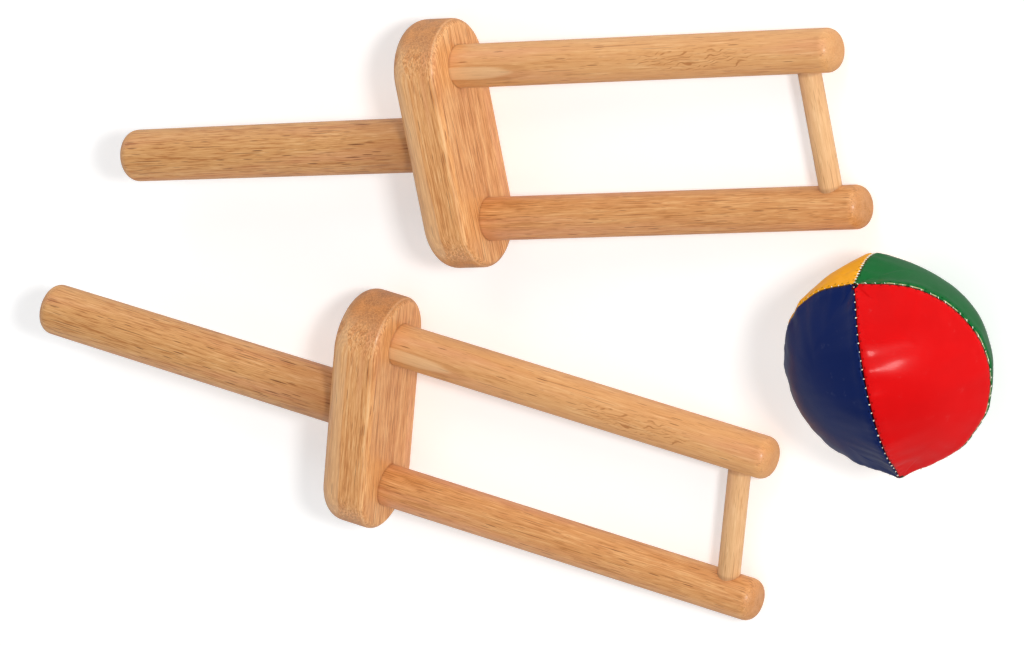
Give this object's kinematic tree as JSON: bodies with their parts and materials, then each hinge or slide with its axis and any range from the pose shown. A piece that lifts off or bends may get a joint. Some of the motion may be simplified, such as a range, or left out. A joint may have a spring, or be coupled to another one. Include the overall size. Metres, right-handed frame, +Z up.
{
  "type": "throw and catch game set",
  "caption": "Wooden catchers with a round grip, a rounded crosshead and two prongs closed by a cross rod, with a stuffed ball of sewn coloured panels.",
  "frame": {"origin": "on the surface that the set lies on, under the middle of the whole set's box", "axes": "+Z up from that surface; +X along the first catcher's prongs, the set's longest way; +Y towards the second catcher"},
  "size_m": [0.3752, 0.2338, 0.0712],
  "materials": {
    "crosshead_wood": "satin",
    "handle_wood": "satin",
    "prong_wood": "satin",
    "cross_rod_wood": "satin",
    "blue_leatherette": "gloss",
    "red_leatherette": "gloss",
    "green_leatherette": "gloss",
    "yellow_leatherette": "gloss",
    "seam_thread": "matte",
    "stuffing": "matte"
  },
  "bodies": {
    "first_catcher": {"first_crosshead": "crosshead_wood", "first_handle": "handle_wood", "first_left_prong": "prong_wood", "first_right_prong": "prong_wood", "first_cross_rod": "cross_rod_wood"},
    "second_catcher": {"second_crosshead": "crosshead_wood", "second_handle": "handle_wood", "second_left_prong": "prong_wood", "second_right_prong": "prong_wood", "second_cross_rod": "cross_rod_wood"},
    "ball": {"blue_panel": "blue_leatherette", "red_panel": "red_leatherette", "green_panel": "green_leatherette", "yellow_panel": "yellow_leatherette", "blue_red_seam": "seam_thread", "red_green_seam": "seam_thread", "green_yellow_seam": "seam_thread", "yellow_blue_seam": "seam_thread", "ball_filling": "stuffing"}
  },
  "joints": [
    {"name": "second_catcher_lift", "type": "slide", "parent": "first_catcher", "child": "second_catcher", "axis": [0, 0, 1], "range_m": [0, 0.1]},
    {"name": "ball_lift", "type": "slide", "parent": "first_catcher", "child": "ball", "axis": [0, 0, 1], "range_m": [0, 0.1]}
  ]
}
